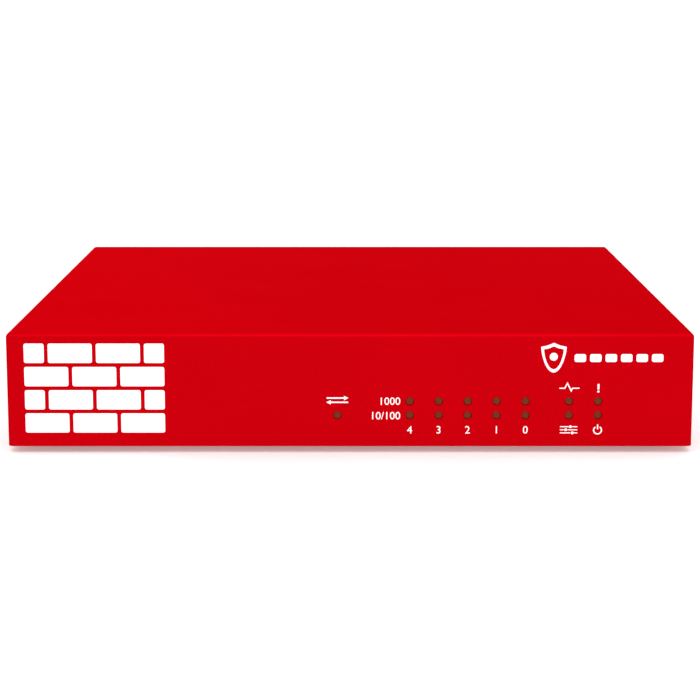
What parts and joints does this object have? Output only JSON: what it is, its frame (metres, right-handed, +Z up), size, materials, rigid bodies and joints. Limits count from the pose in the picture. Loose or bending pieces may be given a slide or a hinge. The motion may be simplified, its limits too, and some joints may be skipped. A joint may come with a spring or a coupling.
{
  "type": "network firewall appliance",
  "caption": "Desktop firewall appliance: folded steel case on rubber feet, indicator lights in front, network, console, USB and power sockets, rocker switch and reset behind.",
  "frame": {"origin": "on the surface the feet stand on, under the middle of the object's box", "axes": "+X to the right seen from the front, +Z up, the front panel faces -Y and the sockets face +Y"},
  "size_m": [0.205, 0.1648, 0.0365],
  "materials": {
    "red_powder_coat": "satin powder coat",
    "rubber": "matt",
    "solder_mask": "semi-gloss",
    "zinc_plated_steel": "bright zinc",
    "black_anodised": "black anodised",
    "can_sleeve": "shrunk sleeve",
    "thermal_pad": "matt",
    "nickel_plate": "bright plate",
    "light_pipe": "clear, polished",
    "chip_epoxy": "matt",
    "transformer_ferrite": "matt",
    "white_ink": "screen printed",
    "gold_plate": "gold flash on spring wire",
    "label_film": "satin film",
    "black_plastic": "fine moulded texture"
  },
  "bodies": {
    "case": {"base_tray": "red_powder_coat", "board_screw_1": "zinc_plated_steel", "board_screw_2": "zinc_plated_steel", "board_screw_3": "zinc_plated_steel", "board_screw_4": "zinc_plated_steel", "board_standoff_1": "zinc_plated_steel", "board_standoff_2": "zinc_plated_steel", "board_standoff_3": "zinc_plated_steel", "board_standoff_4": "zinc_plated_steel", "bulk_capacitor": "can_sleeve", "coin_cell": "zinc_plated_steel", "coin_cell_holder": "black_plastic", "console_insert": "black_plastic", "console_shield": "nickel_plate", "cover_screw_front_left": "zinc_plated_steel", "cover_screw_front_right": "zinc_plated_steel", "cover_screw_rear_left": "zinc_plated_steel", "cover_screw_rear_right": "zinc_plated_steel", "dc_jack": "black_plastic", "dc_jack_pin": "nickel_plate", "ethernet_shield": "nickel_plate", "foot_front_left": "rubber", "foot_front_right": "rubber", "foot_rear_left": "rubber", "foot_rear_right": "rubber", "ground_screw": "zinc_plated_steel", "heatsink": "black_anodised", "heatsink_screw_left": "zinc_plated_steel", "heatsink_screw_right": "zinc_plated_steel", "light_pipe_attention": "light_pipe", "light_pipe_failover": "light_pipe", "light_pipe_port_0": "light_pipe", "light_pipe_port_1": "light_pipe", "light_pipe_port_2": "light_pipe", "light_pipe_port_3": "light_pipe", "light_pipe_port_4": "light_pipe", "light_pipe_status": "light_pipe", "main_board": "solder_mask", "memory_chip_front": "chip_epoxy", "memory_chip_rear": "chip_epoxy", "network_switch_chip": "chip_epoxy", "poe_transformer": "transformer_ferrite", "port_insert_0": "black_plastic", "port_insert_1": "black_plastic", "port_insert_2": "black_plastic", "port_insert_3": "black_plastic", "port_insert_4": "black_plastic", "power_switch_housing": "black_plastic", "processor": "chip_epoxy", "reset_switch": "black_plastic", "storage_module": "solder_mask", "storage_screw": "zinc_plated_steel", "storage_socket": "black_plastic", "thermal_pad": "thermal_pad", "top_cover": "red_powder_coat", "usb_shell": "nickel_plate", "usb_tongue_lower": "black_plastic", "usb_tongue_upper": "black_plastic"},
    "rocker": {"power_rocker": "black_plastic"},
    "reset": {"reset_button": "black_plastic"}
  },
  "joints": [
    {"name": "power_rocker_turn", "type": "hinge", "parent": "case", "child": "rocker", "pos_m": [0.084, 0.0768, 0.02], "axis": [0, 0, 1], "range_deg": [0, 16]},
    {"name": "reset_press", "type": "slide", "parent": "case", "child": "reset", "axis": [0, -1, 0], "range_m": [0, 0.001], "stiffness_N_per_m": 300}
  ]
}
